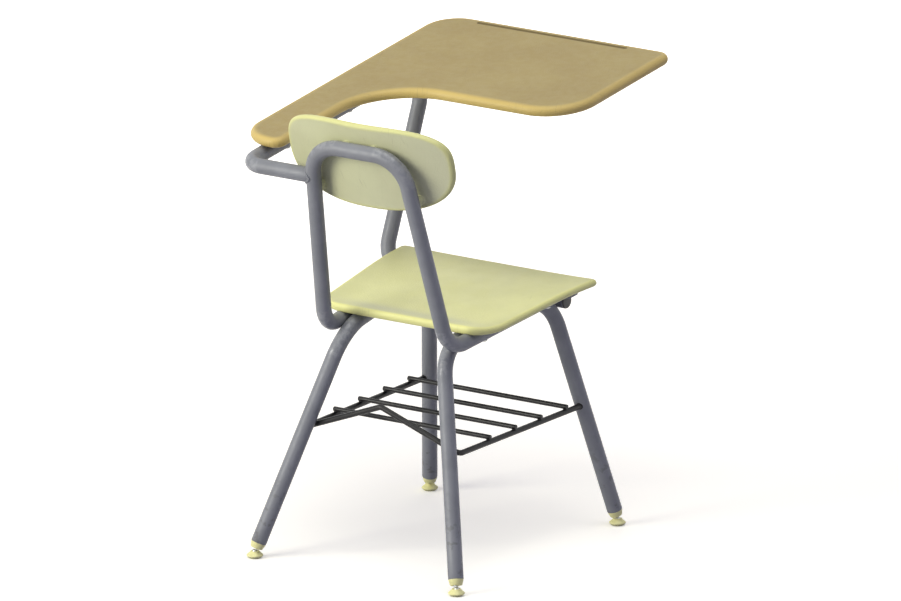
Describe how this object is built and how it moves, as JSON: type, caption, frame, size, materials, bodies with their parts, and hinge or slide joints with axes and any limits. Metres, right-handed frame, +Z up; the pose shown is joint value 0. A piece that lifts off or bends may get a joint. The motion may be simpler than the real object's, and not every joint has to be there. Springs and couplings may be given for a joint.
{
  "type": "student desk chair",
  "caption": "School chair with a bent-tube frame, moulded seat and backrest, a writing tablet on the sitter's left, a rod book rack under the seat and swivel glides.",
  "frame": {"origin": "on the floor, under the middle of the whole object", "axes": "+X to the sitter's right, +Y the way the sitter faces, +Z up"},
  "size_m": [0.484, 0.6745, 0.7574],
  "materials": {
    "frame_paint": "satin grey powder coat",
    "rack_paint": "semi-gloss black paint",
    "shell_plastic": "fine moulded grain, cream",
    "tablet_plastic": "smooth hard plastic, tan",
    "plug_plastic": "moulded, black",
    "glide_plastic": "moulded, pale yellow",
    "stud_steel": "zinc plated",
    "fastener_steel": "zinc plated"
  },
  "bodies": {
    "frame": {"back_frame_tube": "frame_paint", "left_leg_tube": "frame_paint", "right_leg_tube": "frame_paint", "tablet_support_tube": "frame_paint", "tablet_wing_bracket": "frame_paint", "seat_shell": "shell_plastic", "backrest_shell": "shell_plastic", "tablet_top": "tablet_plastic", "rack_rim_rod": "rack_paint", "rack_cross_rod_1": "rack_paint", "rack_cross_rod_2": "rack_paint", "rack_cross_rod_3": "rack_paint", "rack_cross_rod_4": "rack_paint", "left_rail_plug": "plug_plastic", "right_rail_plug": "plug_plastic", "cross_tube_plug": "plug_plastic", "seat_screws": "fastener_steel", "backrest_rivets": "fastener_steel", "tablet_screws": "fastener_steel", "front_left_glide_ferrule": "glide_plastic", "front_right_glide_ferrule": "glide_plastic", "rear_left_glide_ferrule": "glide_plastic", "rear_right_glide_ferrule": "glide_plastic"},
    "front_left_stud": {"front_left_glide_stud": "stud_steel"},
    "front_left_foot": {"front_left_glide_foot": "glide_plastic"},
    "front_right_stud": {"front_right_glide_stud": "stud_steel"},
    "front_right_foot": {"front_right_glide_foot": "glide_plastic"},
    "rear_left_stud": {"rear_left_glide_stud": "stud_steel"},
    "rear_left_foot": {"rear_left_glide_foot": "glide_plastic"},
    "rear_right_stud": {"rear_right_glide_stud": "stud_steel"},
    "rear_right_foot": {"rear_right_glide_foot": "glide_plastic"}
  },
  "joints": [
    {"name": "front_left_glide_spin", "type": "hinge", "parent": "frame", "child": "front_left_stud", "pos_m": [-0.1535, 0.1647, 0.01], "axis": [0.1647, -0.2481, 0.9546], "continuous": true},
    {"name": "front_left_glide_tilt", "type": "hinge", "parent": "front_left_stud", "child": "front_left_foot", "pos_m": [-0.1535, 0.1647, 0.01], "axis": [0.8331, 0.5531, 0], "range_deg": [-12.7, 47.3]},
    {"name": "front_right_glide_spin", "type": "hinge", "parent": "frame", "child": "front_right_stud", "pos_m": [0.2155, 0.1647, 0.01], "axis": [-0.1647, -0.2481, 0.9546], "continuous": true},
    {"name": "front_right_glide_tilt", "type": "hinge", "parent": "front_right_stud", "child": "front_right_foot", "pos_m": [0.2155, 0.1647, 0.01], "axis": [0.8331, -0.5531, 0], "range_deg": [-12.7, 47.3]},
    {"name": "rear_left_glide_spin", "type": "hinge", "parent": "frame", "child": "rear_left_stud", "pos_m": [-0.166, -0.32331, 0.01], "axis": [0.2557, 0.2838, 0.9242], "continuous": true},
    {"name": "rear_left_glide_tilt", "type": "hinge", "parent": "rear_left_stud", "child": "rear_left_foot", "pos_m": [-0.166, -0.32331, 0.01], "axis": [-0.7429, 0.6694, 0], "range_deg": [-7.5, 52.5]},
    {"name": "rear_right_glide_spin", "type": "hinge", "parent": "frame", "child": "rear_right_stud", "pos_m": [0.228, -0.32331, 0.01], "axis": [-0.2557, 0.2838, 0.9242], "continuous": true},
    {"name": "rear_right_glide_tilt", "type": "hinge", "parent": "rear_right_stud", "child": "rear_right_foot", "pos_m": [0.228, -0.32331, 0.01], "axis": [-0.7429, -0.6694, 0], "range_deg": [-7.5, 52.5]}
  ]
}
